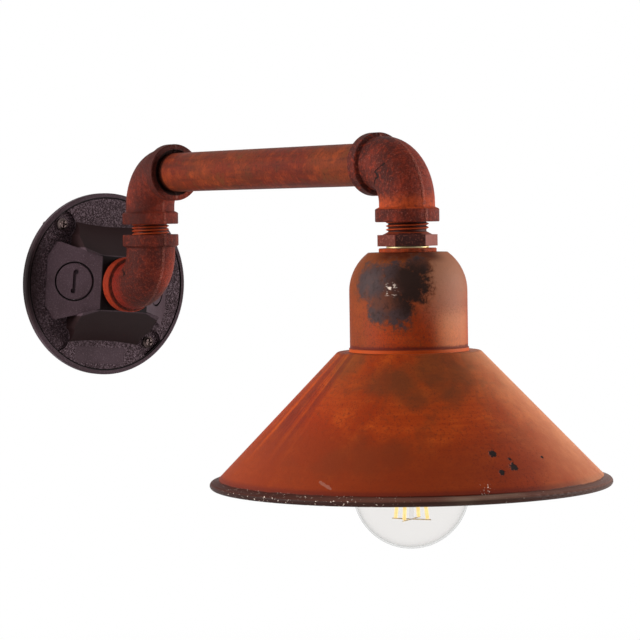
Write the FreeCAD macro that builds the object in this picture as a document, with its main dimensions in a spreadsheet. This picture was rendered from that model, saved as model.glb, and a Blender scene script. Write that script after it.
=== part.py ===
import FreeCAD, Part
import math
import os
import Sketcher

# Industrial pipe wall light: a round weatherproof box cover, half-inch threaded pipe and
# elbows, and a spun shade over a bare bulb. Millimetres. The origin is the centre of the
# cover where it meets the wall: +Y goes into the wall, the arm runs along -Y, +Z is up.

Vector = FreeCAD.Vector
Rotation = FreeCAD.Rotation

doc = FreeCAD.newDocument("pipe_wall_light")
sheet = doc.addObject("Spreadsheet::Sheet", "Sheet")

SIZES = {
    # half-inch pipe and its taper thread
    "pipe_od": 21.34,
    "pipe_wall": 2.77,
    "thread_crest_d": 20.9,
    "thread_root_d": 18.5,
    "thread_pitch": 1.814,
    "thread_grip": 11.0,
    "thread_fit": 0.05,
    "thread_bite": 0.1,
    # malleable elbow
    "elbow_reach": 28.45,
    "elbow_bend": 19.5,
    "elbow_body_d": 27.2,
    "elbow_bore_d": 16.4,
    "elbow_band_d": 31.2,
    "elbow_band_width": 6.4,
    "elbow_mouth_d": 25.2,
    "elbow_mouth_depth": 1.8,
    "elbow_edge": 0.8,
    # where the pipe runs
    "riser_offset": 56.5,
    "riser_height": 62.7,
    "arm_length": 245.7,
    # box cover
    "cover_turn": 5.0,
    "gasket_thickness": 1.5,
    "gasket_inset": 1.6,
    "gasket_width": 12.8,
    "cover_d": 104.8,
    "cover_thickness": 4.0,
    "cover_wall": 3.4,
    "cover_rim_width": 2.3,
    "cover_rim_step": 0.35,
    "cover_groove_width": 0.8,
    "cover_groove_depth": 0.6,
    "cover_edge": 0.7,
    "cover_screw_inset": 7.95,
    "cover_screw_angle": 46.8,
    "scoop_d": 16.0,
    "scoop_depth": 1.9,
    "hub_height": 21.0,
    "hub_half": 16.0,
    "hub_base_half": 35.5,
    "hub_length": 50.0,
    "hub_waist": 1.9,
    "hub_boss_d": 29.0,
    "hub_boss_depth": 14.0,
    "port_inner": 15.1,
    "port_inner_half": 15.0,
    "port_shoulder": 34.5,
    "port_shoulder_half": 22.2,
    "port_outer": 39.8,
    "port_outer_half": 13.5,
    "port_foot": 0.15,
    "port_centre": 27.3,
    "port_boss_d": 24.0,
    "port_boss_depth": 7.0,
    "port_mouth_d": 22.4,
    "port_mouth_depth": 1.8,
    # closure plug
    "plug_length": 6.2,
    "plug_slot_width": 1.7,
    "plug_slot_length": 11.0,
    "plug_slot_depth": 2.2,
    "plug_hook_d": 2.8,
    "plug_hook_shift": 0.9,
    "plug_edge": 0.4,
    # cover screw
    "screw_head_d": 6.6,
    "screw_head_height": 2.3,
    "screw_neck_d": 2.9,
    "screw_thread_d": 3.5,
    "screw_length": 20.0,
    "screw_hole_d": 4.2,
    "screw_recess_width": 1.1,
    "screw_recess_length": 3.9,
    "screw_recess_depth": 1.5,
    # reducing bushing below the outer elbow
    "bushing_neck": 6.2,
    "bushing_flare": 1.5,
    "bushing_flare_d": 24.4,
    "bushing_hex": 25.4,
    "bushing_hex_height": 5.5,
    "bushing_bore_d": 15.0,
    "bushing_floor": 6.0,
    "hex_edge": 0.6,
    # hollow rod that carries the shade
    "rod_d": 10.2,
    "rod_bore_d": 7.0,
    "rod_in_bushing": 8.0,
    "rod_hole_d": 10.3,
    "rod_grip": 7.0,
    # washers and nut on the rod
    "brass_washer_d": 20.8,
    "brass_washer_height": 1.0,
    "cup_washer_d": 28.1,
    "cup_washer_height": 2.0,
    "washer_edge": 0.35,
    "rod_nut_hex": 15.9,
    "rod_nut_height": 4.0,
    # socket cup
    "cup_d": 57.3,
    "cup_height": 47.8,
    "cup_wall": 1.2,
    "cup_shoulder": 23.5,
    "cup_shoulder_drop": 18.8,
    "cup_bead": 0.45,
    "cup_bead_height": 1.6,
    # shade
    "shade_wall": 1.0,
    "shade_top_d": 69.5,
    "shade_top_round": 2.2,
    "shade_flange_width": 4.5,
    "shade_depth": 60.6,
    "shade_flange_drop": 0.8,
    "shade_groove": 0.7,
    "shade_rim_d": 195.6,
    "shade_bead_d": 3.2,
    # lampholder
    "holder_gap": 2.2,
    "holder_top_d": 40.0,
    "holder_top_height": 11.0,
    "holder_top_wall": 3.0,
    "holder_flange_d": 45.0,
    "holder_flange_height": 3.0,
    "holder_skirt_d": 37.8,
    "holder_lip": 17.0,
    "holder_floor": 4.0,
    "shade_hole_fit": 0.4,
    "ring_d": 47.0,
    "ring_height": 6.0,
    "ring_lip": 1.5,
    "terminal_head_d": 6.0,
    "terminal_head_height": 2.0,
    "terminal_shank_d": 3.2,
    "terminal_spread": 9.0,
    "contact_width": 7.0,
    "contact_length": 16.0,
    "contact_thickness": 0.6,
    "contact_gap": 0.05,
    "contact_bump": 1.6,
    # screw shell of the lampholder and of the bulb
    "shell_d": 26.9,
    "shell_wall": 0.6,
    "shell_length": 24.0,
    "shell_ridge_d": 1.1,
    "edison_pitch": 3.629,
    "edison_turns": 4.0,
    "edison_start": 22.5,
    "edison_d": 26.1,
    "edison_ridge_d": 1.7,
    # bulb
    "bulb_d": 57.0,
    "bulb_length": 105.0,
    "bulb_seat": 25.8,
    "bulb_neck_d": 25.4,
    "bulb_neck_reach": 29.0,
    "glass_wall": 0.8,
    "bulb_cap_length": 22.0,
    "bulb_cap_wall": 0.45,
    "bulb_insulator_height": 4.2,
    "bulb_cap_seat": 1.6,
    "bulb_seal": 12.0,
    "bulb_contact_d": 9.4,
    "bulb_contact_height": 1.6,
    "stem_d": 9.0,
    "stem_reach": 52.0,
    "stem_rod_d": 2.2,
    "filament_d": 1.8,
    "filament_top_radius": 3.4,
    "filament_foot_radius": 8.5,
    "filament_drop": 38.5,
    "filament_turn": 30.0,
    "filament_lead": 3.0,
    "filament_wire_d": 0.5,
    "filament_wire_past": 1.8,
    # lead wires
    "wire_d": 2.3,
    "wire_spacing": 3.0,
    "wire_tail": 0.4,
    "swing_height": 31.4,
}

row = 1
for alias, number in SIZES.items():
    sheet.set("A%d" % row, alias)
    sheet.set("B%d" % row, str(number))
    sheet.setAlias("B%d" % row, alias)
    row += 1
doc.recompute()


class Size:
    """A length with its number and the sheet formula that keeps it bound."""

    def __init__(self, value, text):
        self.value = value
        self.text = text

    def joined(self, other, sign, value):
        return Size(value, "(%s %s %s)" % (self.text, sign, as_size(other).text))

    def __add__(self, other):
        return self.joined(other, "+", self.value + as_size(other).value)

    def __sub__(self, other):
        return self.joined(other, "-", self.value - as_size(other).value)

    def __mul__(self, other):
        return self.joined(other, "*", self.value * as_size(other).value)

    def __truediv__(self, other):
        return self.joined(other, "/", self.value / as_size(other).value)

    def __radd__(self, other):
        return as_size(other) + self

    def __rsub__(self, other):
        return as_size(other) - self

    def __rmul__(self, other):
        return self * other

    def __neg__(self):
        return Size(-self.value, "(0 - %s)" % self.text)


def as_size(number):
    if isinstance(number, Size):
        return number
    return Size(float(number), repr(float(number)))


def of(alias):
    return Size(float(sheet.get(alias)), "Sheet." + alias)


def root_of(size):
    return Size(math.sqrt(size.value), "sqrt(%s)" % size.text)


def sine(size):
    return Size(math.sin(math.radians(size.value)), "sin(%s * 1deg)" % size.text)


def cosine(size):
    return Size(math.cos(math.radians(size.value)), "cos(%s * 1deg)" % size.text)


def number(text):
    return text + " * 1mm"


# building blocks


def new_body(label):
    body = doc.addObject("PartDesign::Body", label)
    body.Label = label
    return body


def sketch_on(body, role, depth=None, turn=None):
    sketch = body.newObject("Sketcher::SketchObject", body.Name + "_sketch")
    plane = next(f for f in body.Origin.OriginFeatures if f.Role == role)
    sketch.AttachmentSupport = [(plane, "")]
    sketch.MapMode = "FlatFace"
    if turn is not None:
        sketch.AttachmentOffset = FreeCAD.Placement(Vector(0, 0, 0), turn)
    if depth is not None:
        sketch.setExpression("AttachmentOffset.Base.z", number(as_size(depth).text))
    return sketch


def bind(sketch, kind, where, size):
    """Adds one driving dimension, bound to the sheet."""
    size = as_size(size)
    index = sketch.addConstraint(Sketcher.Constraint(kind, *where, size.value))
    sketch.setExpression("Constraints[%d]" % index, number(size.text))


def pin_point(sketch, geometry, position, x, y):
    for axis, coordinate, kind in ((-2, x, "DistanceX"), (-1, y, "DistanceY")):
        if isinstance(coordinate, Size):
            bind(sketch, kind, (-1, 1, geometry, position), coordinate)
        else:
            sketch.addConstraint(Sketcher.Constraint("PointOnObject", geometry, position, axis))


def outline(sketch, corners):
    """A closed outline. A corner is (x, y); with a third entry, the edge that arrives at
    it is an arc of that radius, to the left of its chord, or to the right if negative."""
    first = sketch.GeometryCount
    spots = [Vector(as_size(c[0]).value, as_size(c[1]).value, 0) for c in corners]
    ends = []
    for i, spot in enumerate(spots):
        following = (i + 1) % len(spots)
        target = spots[following]
        if len(corners[following]) == 2:
            sketch.addGeometry(Part.LineSegment(spot, target), False)
            ends.append((1, 2))
            continue
        radius = corners[following][2].value
        chord = target - spot
        half = chord.Length / 2
        side = Vector(-chord.y, chord.x, 0).normalize() * math.copysign(1, radius)
        forward = (radius < 0)
        centre = (spot + target) / 2 - side * math.sqrt(radius * radius - half * half)
        circle = Part.Circle(centre, Vector(0, 0, 1), abs(radius))
        start = circle.parameter(spot if forward else target)
        finish = circle.parameter(target if forward else spot)
        sketch.addGeometry(Part.ArcOfCircle(circle, start, finish), False)
        ends.append((1, 2) if forward else (2, 1))
    for i, corner in enumerate(corners):
        following = (i + 1) % len(corners)
        sketch.addConstraint(Sketcher.Constraint(
            "Coincident", first + i, ends[i][1], first + following, ends[following][0]))
        pin_point(sketch, first + i, ends[i][0], corner[0], corner[1])
        if len(corners[following]) == 3:
            radius = corners[following][2]
            bind(sketch, "Radius", (first + i,), radius if radius.value > 0 else -radius)


def disc(sketch, diameter, x=0, y=0):
    diameter = as_size(diameter)
    centre = Vector(as_size(x).value, as_size(y).value, 0)
    index = sketch.addGeometry(
        Part.Circle(centre, Vector(0, 0, 1), diameter.value / 2), False)
    pin_point(sketch, index, 3, x, y)
    bind(sketch, "Diameter", (index,), diameter)


def revolve(body, sketch, axis="V_Axis", cut=False):
    kind = "PartDesign::Groove" if cut else "PartDesign::Revolution"
    feature = body.newObject(kind, body.Name + "_turned")
    feature.Profile = sketch
    feature.ReferenceAxis = (sketch, [axis])
    feature.Angle = 360
    return feature


def turned(label, corners):
    """A round piece about its own Z, from its (radius, height) corners."""
    body = new_body(label)
    sketch = sketch_on(body, "XZ_Plane")
    outline(sketch, corners)
    revolve(body, sketch)
    return body


def pad(body, sketch, length, back=False):
    feature = body.newObject("PartDesign::Pad", body.Name + "_pad")
    feature.Profile = sketch
    feature.Reversed = back
    feature.setExpression("Length", number(as_size(length).text))
    return feature


def pocket(body, sketch, length=None, back=False):
    feature = body.newObject("PartDesign::Pocket", body.Name + "_pocket")
    feature.Profile = sketch
    feature.Reversed = back
    if length is None:
        feature.Type = "ThroughAll"
    else:
        feature.setExpression("Length", number(as_size(length).text))
    return feature


def hexagon(sketch, flats):
    """A hexagon with two corners on the sketch's vertical axis."""
    half = flats / 2
    corner = flats / root_of(as_size(3))
    low = corner / 2
    outline(sketch, [(0, corner), (-half, low), (-half, -low), (0, -corner), (half, -low), (half, low)])


def screw_thread(body, crest_d, root_d, pitch, start, length):
    """A sharp helical ridge that stands on the piece's core, about its own Z."""
    root = root_d / 2 - of("thread_bite")
    crest = crest_d / 2
    half = pitch * 0.44
    flat = pitch * 0.05
    tooth = sketch_on(body, "XZ_Plane")
    middle = start + half
    outline(tooth, [
        (root, start), (crest, middle - flat), (crest, middle + flat), (root, start + half * 2)])
    helix = body.newObject("PartDesign::AdditiveHelix", body.Name + "_thread")
    helix.Profile = tooth
    helix.ReferenceAxis = (tooth, ["V_Axis"])
    helix.Mode = 0
    helix.setExpression("Pitch", number(pitch.text))
    helix.setExpression("Height", number((length - half * 2).text))
    helix.Angle = 0
    return helix


def round_thread(body, ridge_d, at_radius, pitch, start, turns):
    """A rounded helical ridge, as on a lamp cap."""
    tooth = sketch_on(body, "XZ_Plane")
    disc(tooth, ridge_d, at_radius, start)
    helix = body.newObject("PartDesign::AdditiveHelix", body.Name + "_thread")
    helix.Profile = tooth
    helix.ReferenceAxis = (tooth, ["V_Axis"])
    helix.Mode = 0
    helix.setExpression("Pitch", number(pitch.text))
    helix.setExpression("Height", number((pitch * turns).text))
    helix.Angle = 0
    return helix


def place(piece, x=0, y=0, z=0, rotation=None):
    """Puts a finished piece where it sits; its place stays bound to the sheet."""
    if rotation is not None:
        piece.Placement = FreeCAD.Placement(Vector(0, 0, 0), rotation)
    for axis, coordinate in (("x", x), ("y", y), ("z", z)):
        if isinstance(coordinate, Size):
            piece.setExpression("Placement.Base." + axis, number(coordinate.text))
    return piece


def solid_piece(label, shape):
    """A piece whose shape is worked out from the sheet by Part's own functions."""
    piece = doc.addObject("Part::Feature", label)
    piece.Label = label
    piece.Shape = shape
    piece.Placement = FreeCAD.Placement()
    return piece


# shared places

pipe_d = of("pipe_od")
pipe_bore_d = pipe_d - of("pipe_wall") * 2
crest_d = of("thread_crest_d")
thread_root_d = of("thread_root_d")
thread_bore_d = crest_d + of("thread_fit") * 2
pitch = of("thread_pitch")
grip = of("thread_grip")
reach = of("elbow_reach")
riser_y = -of("riser_offset")
arm_z = of("riser_height")
drop_y = riser_y - of("arm_length")

gasket_front = of("gasket_thickness")
cover_face = gasket_front + of("cover_thickness")
cover_floor = cover_face - of("cover_rim_step")
hub_top = cover_face + of("hub_height")
screw_circle = of("cover_d") - of("cover_screw_inset") * 2
screw_seat = cover_floor - of("scoop_depth")
facet_run = of("port_outer") - of("port_inner")
facet_fall = of("hub_height") - of("port_foot")
facet_length = root_of(facet_run * facet_run + facet_fall * facet_fall)
facet_sine = facet_fall / facet_length
facet_cosine = facet_run / facet_length
facet_angle = math.degrees(math.atan2(facet_fall.value, facet_run.value))
facet_centre = hub_top - (of("port_centre") - of("port_inner")) * facet_fall / facet_run
wall = of("cover_wall")
turn = of("cover_turn")

# heights below the arm's axis, on the drop's axis
elbow_end = -reach
hex_top = elbow_end - of("bushing_neck")
hex_bottom = hex_top - of("bushing_hex_height")
brass_bottom = hex_bottom - of("brass_washer_height")
cup_top = brass_bottom - of("cup_washer_height")
cup_bottom = cup_top - of("cup_height")
nut_top = cup_top - of("cup_wall")
nut_bottom = nut_top - of("rod_nut_height")
holder_high = nut_bottom - of("holder_gap")
holder_split = holder_high - of("holder_top_height")
holder_low = cup_bottom - of("holder_lip")
rod_top = hex_bottom + of("rod_in_bushing")
rod_bottom = holder_high - of("rod_grip")
bulb_tip = holder_low + of("bulb_seat")
bulb_low = bulb_tip - of("bulb_length")

# the cover's own frame has +Z out of the wall; in the room that is -Y
FLAT_TO_WALL = Rotation(Vector(1, 0, 0), 90)
COVER_TURN = Rotation(Vector(0, 1, 0), turn.value) * FLAT_TO_WALL
pieces = []


def keep(piece):
    pieces.append(piece)
    return piece


# wall side

def screw_spots():
    """The two screws sit across from each other on the box's screw circle."""
    across = screw_circle / 2 * cosine(of("cover_screw_angle"))
    up = screw_circle / 2 * sine(of("cover_screw_angle"))
    return [(-across, up), (across, -up)]


def cover_gasket():
    body = new_body("cover_gasket")
    ring = sketch_on(body, "XY_Plane")
    rim = of("cover_d") - of("gasket_inset") * 2
    disc(ring, rim)
    disc(ring, rim - of("gasket_width") * 2)
    for x, y in screw_spots():
        disc(ring, of("screw_hole_d"), x, y)
    pad(body, ring, gasket_front)
    keep(place(body, rotation=COVER_TURN))


def waisted(sketch, length, half, waist):
    """A bar seen from the front, with long sides that draw in at the middle."""
    radius = (length * length / 4 + waist * waist) / (waist * 2)
    end = length / 2
    outline(sketch, [(-end, -half), (end, -half, radius), (end, half), (-end, half, radius)])


def port_outline(sketch, side, start=0, squeeze=1):
    """The outline of one side port; start and squeeze fit it into the sloping face."""
    inner = (of("port_inner") - start) / squeeze
    shoulder = (of("port_shoulder") - start) / squeeze
    outer = (of("port_outer") - start) / squeeze
    inner_half = of("port_inner_half")
    shoulder_half = of("port_shoulder_half")
    outer_half = of("port_outer_half")
    corners = [
        (inner, -inner_half), (inner, inner_half), (shoulder, shoulder_half),
        (outer, outer_half), (outer, -outer_half), (shoulder, -shoulder_half)]
    outline(sketch, [(x * side, y) for x, y in corners])


def loft(body, low, high, cut=False):
    kind = "PartDesign::SubtractiveLoft" if cut else "PartDesign::AdditiveLoft"
    feature = body.newObject(kind, body.Name + "_loft")
    feature.Profile = low
    feature.Sections = [high]
    feature.Ruled = True
    return feature


def port_sketch(body, side, inward=None):
    """A sketch that lies in the sloping face of one side port."""
    sketch = sketch_on(body, "XY_Plane")
    slope = Rotation(Vector(0, 1, 0), facet_angle * side)
    sketch.AttachmentOffset = FreeCAD.Placement(Vector(0, 0, 0), slope)
    x = of("port_centre") * side
    z = facet_centre
    if inward is not None:
        x = x - inward * facet_sine * side
        z = z - inward * facet_cosine
    sketch.setExpression("AttachmentOffset.Base.x", number(x.text))
    sketch.setExpression("AttachmentOffset.Base.z", number(z.text))
    return sketch


def cover_plate():
    body = new_body("cover_plate")
    rim = of("cover_d") / 2
    edge = of("cover_edge")
    step = rim - of("cover_rim_width")
    inner = step - of("cover_groove_width")
    groove = cover_face - of("cover_groove_depth")
    face = sketch_on(body, "XZ_Plane")
    outline(face, [(0, gasket_front), (inner, gasket_front), (inner, cover_floor), (0, cover_floor)])
    revolve(body, face)

    # the two side ports, whose faces slope from the hub's top to the foot of the cover
    foot = cover_floor - of("cover_rim_step")
    for side in (-1, 1):
        top = sketch_on(body, "XY_Plane", foot)
        port_outline(top, side)
        pad(body, top, hub_top - foot)
        slope = sketch_on(body, "XZ_Plane")
        far = of("port_outer") + wall
        low = hub_top - facet_fall
        outline(slope, [
            (of("port_inner") * side, hub_top), (of("port_outer") * side, low), (far * side, low),
            (far * side, hub_top + wall), (of("port_inner") * side, hub_top + wall)])
        cut = pocket(body, slope)
        cut.Midplane = True

    # the raised hub, with sloping waisted flanks, cut away over the sloping faces
    low = sketch_on(body, "XY_Plane", foot)
    waisted(low, of("hub_length"), of("hub_base_half"), of("hub_waist"))
    high = sketch_on(body, "XY_Plane", hub_top)
    waisted(high, of("hub_length"), of("hub_half"), of("hub_waist") / 2)
    loft(body, low, high)
    for side in (-1, 1):
        over = port_sketch(body, side)
        port_outline(over, side, of("port_centre"), facet_cosine)
        pocket(body, over, back=True)

    # the hollow behind, open to the box
    hollow_top = hub_top - wall
    slant = wall / facet_cosine
    hollow_far = of("port_outer") - wall * 1.4
    fall = facet_fall / facet_run
    hollow_low = hub_top - slant - (hollow_far - of("port_inner")) * fall
    hollow_near = of("port_inner") - (slant - wall) / fall
    behind = sketch_on(body, "XZ_Plane")
    back = gasket_front - wall
    outline(behind, [
        (-hollow_far, back), (-hollow_far, hollow_low), (-hollow_near, hollow_top),
        (hollow_near, hollow_top), (hollow_far, hollow_low), (hollow_far, back)])
    cut = pocket(body, behind, (of("port_inner_half") - wall) * 2)
    cut.Midplane = True
    low = sketch_on(body, "XY_Plane", back)
    waisted(low, of("hub_length") - wall * 2, of("hub_base_half") - wall * 1.7, of("hub_waist"))
    shelf = hub_top - slant - (of("hub_length") / 2 - wall - of("port_inner")) * fall
    high = sketch_on(body, "XY_Plane", shelf)
    share = (hub_top - shelf) / of("hub_height")
    half = of("hub_half") + (of("hub_base_half") - of("hub_half")) * share - wall * 1.2
    waisted(high, of("hub_length") - wall * 2, half, of("hub_waist") / 2)
    loft(body, low, high, cut=True)

    # threaded bosses inside, and their bores
    boss = sketch_on(body, "XY_Plane", hub_top)
    disc(boss, of("hub_boss_d"))
    pad(body, boss, of("hub_boss_depth"), back=True)
    for side in (-1, 1):
        boss = port_sketch(body, side)
        disc(boss, of("port_boss_d"))
        pad(body, boss, of("port_boss_depth"), back=True)
    bore = sketch_on(body, "XY_Plane", hub_top + wall)
    disc(bore, thread_bore_d)
    pocket(body, bore, of("hub_boss_depth") + wall * 2)
    for side in (-1, 1):
        bore = port_sketch(body, side, inward=-wall)
        disc(bore, thread_bore_d)
        pocket(body, bore, of("port_boss_depth") + wall * 2)
        mouth = port_sketch(body, side, inward=-wall)
        disc(mouth, of("port_mouth_d"))
        pocket(body, mouth, wall + of("port_mouth_depth"))

    # round seats at the four screw places, and two screw holes
    seats = sketch_on(body, "XY_Plane", screw_seat)
    for x, y in screw_spots():
        disc(seats, of("scoop_d"), x, y)
        disc(seats, of("scoop_d"), -x, y)
    pocket(body, seats, back=True)

    # the raised rim with its groove runs on past the seats
    ring = sketch_on(body, "XZ_Plane")
    outline(ring, [
        (inner, gasket_front), (rim, gasket_front), (rim, cover_face - edge), (rim - edge, cover_face),
        (step, cover_face), (step, groove), (inner, groove)])
    revolve(body, ring)
    holes = sketch_on(body, "XY_Plane", cover_face)
    for x, y in screw_spots():
        disc(holes, of("screw_hole_d"), x, y)
    pocket(body, holes)
    keep(place(body, rotation=COVER_TURN))


def cover_screws():
    """Held captive: a thin neck through the cover and gasket, then the thread for the box."""
    screw = new_body("cover_screw")
    head = of("screw_head_d") / 2
    neck = of("screw_neck_d") / 2
    thread = of("screw_thread_d") / 2
    height = of("screw_head_height")
    dome = sketch_on(screw, "XZ_Plane")
    outline(dome, [
        (0, -of("screw_length")), (thread, -of("screw_length")), (thread, -screw_seat),
        (neck, -screw_seat), (neck, 0), (head, 0), (head, height * 0.45),
        (head * 0.62, height, head), (0, height)])
    revolve(screw, dome)
    for length, width in (("screw_recess_length", "screw_recess_width"),
                          ("screw_recess_width", "screw_recess_length")):
        cross = sketch_on(screw, "XY_Plane", height)
        x = of(length) / 2
        y = of(width) / 2
        outline(cross, [(-x, -y), (x, -y), (x, y), (-x, y)])
        pocket(screw, cross, of("screw_recess_depth"))
    doc.recompute()
    pair = []
    for x, y in screw_spots():
        copy = screw.Shape.copy()
        copy.translate(Vector(x.value, y.value, screw_seat.value))
        copy.rotate(Vector(0, 0, 0), COVER_TURN.Axis, math.degrees(COVER_TURN.Angle))
        pair.append(copy)
    keep(solid_piece("cover_screws", Part.makeCompound(pair)))


def closure_plug(label, side):
    radius = crest_d / 2
    edge = of("plug_edge")
    body = turned(label, [
        (0, -of("plug_length")), (radius - edge, -of("plug_length")), (radius, edge - of("plug_length")),
        (radius, -edge), (radius - edge, 0), (0, 0)])
    slot = sketch_on(body, "XY_Plane")
    half = of("plug_slot_width") / 2
    end = of("plug_slot_length") / 2
    outline(slot, [(-half, -end), (half, -end), (half, end), (-half, end)])
    pocket(body, slot, of("plug_slot_depth"))
    hooks = sketch_on(body, "XY_Plane")
    disc(hooks, of("plug_hook_d"), of("plug_hook_shift"), end)
    disc(hooks, of("plug_hook_d"), -(of("plug_hook_shift") / 2), -end)
    pocket(body, hooks, of("plug_slot_depth"))
    across = of("port_centre") * side
    keep(place(
        body, across * cosine(turn), -facet_centre, -(across * sine(turn)),
        COVER_TURN * Rotation(Vector(0, 1, 0), facet_angle * side)))


def pipe_nipple(label, length):
    """A short pipe, threaded from end to end, with its foot at its own origin."""
    edge = (crest_d - thread_root_d) / 4
    core = thread_root_d / 2
    bore = pipe_bore_d / 2
    body = turned(label, [
        (bore, 0), (core - edge, 0), (core, edge), (core, length - edge),
        (core - edge, length), (bore, length)])
    screw_thread(body, crest_d, thread_root_d, pitch, pitch * 0.3, length - pitch * 0.6)
    return keep(body)


def elbow(label, y, z, rotation):
    """A 90 degree elbow: its corner at its own origin, one leg along +Z, one along +X."""
    body = new_body(label)
    bend = of("elbow_bend")
    band = of("elbow_band_d") / 2
    body_radius = of("elbow_body_d") / 2
    bore = thread_bore_d / 2
    edge = of("elbow_edge")
    mouth = of("elbow_mouth_d") / 2
    for cut in (False, True):
        path = sketch_on(body, "XZ_Plane")
        start = Vector(0, reach.value, 0)
        rise = Vector(0, bend.value, 0)
        run = Vector(bend.value, 0, 0)
        finish = Vector(reach.value, 0, 0)
        path.addGeometry(Part.LineSegment(start, rise), False)
        circle = Part.Circle(Vector(bend.value, bend.value, 0), Vector(0, 0, 1), bend.value)
        path.addGeometry(Part.ArcOfCircle(circle, math.pi, math.pi * 1.5), False)
        path.addGeometry(Part.LineSegment(run, finish), False)
        path.addConstraint(Sketcher.Constraint("Coincident", 0, 2, 1, 1))
        path.addConstraint(Sketcher.Constraint("Coincident", 1, 2, 2, 1))
        pin_point(path, 0, 1, 0, reach)
        pin_point(path, 0, 2, 0, bend)
        pin_point(path, 2, 1, bend, 0)
        pin_point(path, 2, 2, reach, 0)
        bind(path, "Radius", (1,), bend)
        ring = sketch_on(body, "XY_Plane", reach)
        disc(ring, of("elbow_bore_d") if cut else of("elbow_body_d"))
        kind = "PartDesign::SubtractivePipe" if cut else "PartDesign::AdditivePipe"
        sweep = body.newObject(kind, label + "_sweep")
        sweep.Profile = ring
        sweep.Spine = (path, [])
        if cut:
            continue
        # a band round each mouth
        near = reach - of("elbow_band_width")
        for axis in ("V_Axis", "H_Axis"):
            collar = sketch_on(body, "XZ_Plane")
            corners = [
                (0, near - edge), (body_radius, near - edge), (band - edge / 2, near),
                (band, near + edge / 2), (band, reach - edge / 2), (band - edge / 2, reach), (0, reach)]
            if axis == "H_Axis":
                corners = [(height, radius) for radius, height in corners]
            outline(collar, corners)
            revolve(body, collar, axis)
    deep = reach - grip - of("elbow_mouth_depth")
    for axis in ("V_Axis", "H_Axis"):
        socket = sketch_on(body, "XZ_Plane")
        corners = [
            (0, deep), (bore, deep), (bore, reach - of("elbow_mouth_depth")),
            (pipe_d / 2 + of("thread_fit"), reach - of("elbow_mouth_depth")), (mouth, reach - edge / 2),
            (mouth, reach + edge), (0, reach + edge)]
        if axis == "H_Axis":
            corners = [(height, radius) for radius, height in corners]
        outline(socket, corners)
        revolve(body, socket, axis, cut=True)
    keep(place(body, 0, y, z, rotation))


def wall_nipple():
    inner = hub_top - grip
    outer = -riser_y - reach + grip
    nipple = pipe_nipple("wall_nipple", outer - inner)
    place(nipple, 0, -inner, 0, FLAT_TO_WALL)


def riser_nipple():
    low = reach - grip
    nipple = pipe_nipple("riser_nipple", arm_z - low * 2)
    place(nipple, 0, riser_y, low)


def arm_pipe():
    """The long pipe, turned down over the threads that its two elbows hide."""
    thread = grip - of("elbow_mouth_depth")
    length = of("arm_length") - (reach - grip) * 2
    bore = pipe_bore_d / 2
    body = turned("arm_pipe", [
        (bore, 0), (crest_d / 2, 0), (crest_d / 2, thread), (pipe_d / 2, thread),
        (pipe_d / 2, length - thread), (crest_d / 2, length - thread), (crest_d / 2, length),
        (bore, length)])
    keep(place(body, 0, riser_y - (reach - grip), arm_z, FLAT_TO_WALL))


# the drop

def hang(piece):
    """Pieces on the drop's axis are drawn from the arm's axis downwards."""
    return keep(place(piece, 0, drop_y, arm_z))


def hex_bushing():
    core = thread_root_d / 2
    flare = of("bushing_flare_d") / 2
    top = elbow_end + grip
    neck = hex_top + of("bushing_flare")
    edge = of("hex_edge")
    body = turned("hex_bushing", [
        (0, top), (core - edge, top), (core, top - edge), (core, neck), (flare, hex_top),
        (flare, hex_bottom), (0, hex_bottom)])
    head = sketch_on(body, "XY_Plane", hex_bottom)
    hexagon(head, of("bushing_hex"))
    pad(body, head, of("bushing_hex_height"))
    screw_thread(body, crest_d, thread_root_d, pitch, neck - pitch * 0.3, top - neck - pitch * 0.5)
    bore = sketch_on(body, "XZ_Plane")
    wide = of("bushing_bore_d") / 2
    rod = of("rod_hole_d") / 2
    shelf = hex_bottom + of("bushing_floor") + wide - rod
    outline(bore, [
        (0, top + edge), (wide, top + edge), (wide, shelf), (rod, hex_bottom + of("bushing_floor")),
        (rod, hex_bottom - edge), (0, hex_bottom - edge)])
    revolve(body, bore, cut=True)
    hang(body)


def washer(label, outer_d, top, bottom):
    edge = of("washer_edge")
    hole = of("rod_hole_d") / 2
    rim = outer_d / 2
    hang(turned(label, [
        (hole, top), (rim - edge, top), (rim, top - edge), (rim, bottom + edge), (rim - edge, bottom),
        (hole, bottom)]))


def hanging_rod():
    radius = of("rod_d") / 2
    bore = of("rod_bore_d") / 2
    edge = of("washer_edge")
    hang(turned("hanging_rod", [
        (bore, rod_bottom), (radius - edge, rod_bottom), (radius, rod_bottom + edge),
        (radius, rod_top - edge), (radius - edge, rod_top), (bore, rod_top)]))


def rod_nut():
    body = new_body("rod_nut")
    nut = sketch_on(body, "XY_Plane", nut_bottom)
    hexagon(nut, of("rod_nut_hex"))
    disc(nut, of("rod_hole_d"))
    pad(body, nut, of("rod_nut_height"))
    hang(body)


def socket_cup():
    radius = of("cup_d") / 2
    thick = of("cup_wall")
    sweep = of("cup_shoulder")
    drop = of("cup_shoulder_drop")
    bead = of("cup_bead")
    hole = of("rod_hole_d") / 2
    flat = radius - sweep + root_of(sweep * sweep - drop * drop)
    inner_sweep = sweep - thick
    inner_drop = drop - thick
    inner_flat = radius - sweep + root_of(inner_sweep * inner_sweep - inner_drop * inner_drop)
    bead_top = cup_bottom + of("cup_bead_height")
    hang(turned("socket_cup", [
        (hole, cup_top), (flat, cup_top), (radius, cup_top - drop, sweep), (radius, bead_top + bead),
        (radius + bead, bead_top), (radius + bead, cup_bottom), (radius - thick, cup_bottom),
        (radius - thick, cup_top - drop), (inner_flat, cup_top - thick, -inner_sweep),
        (hole, cup_top - thick)]))


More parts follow.
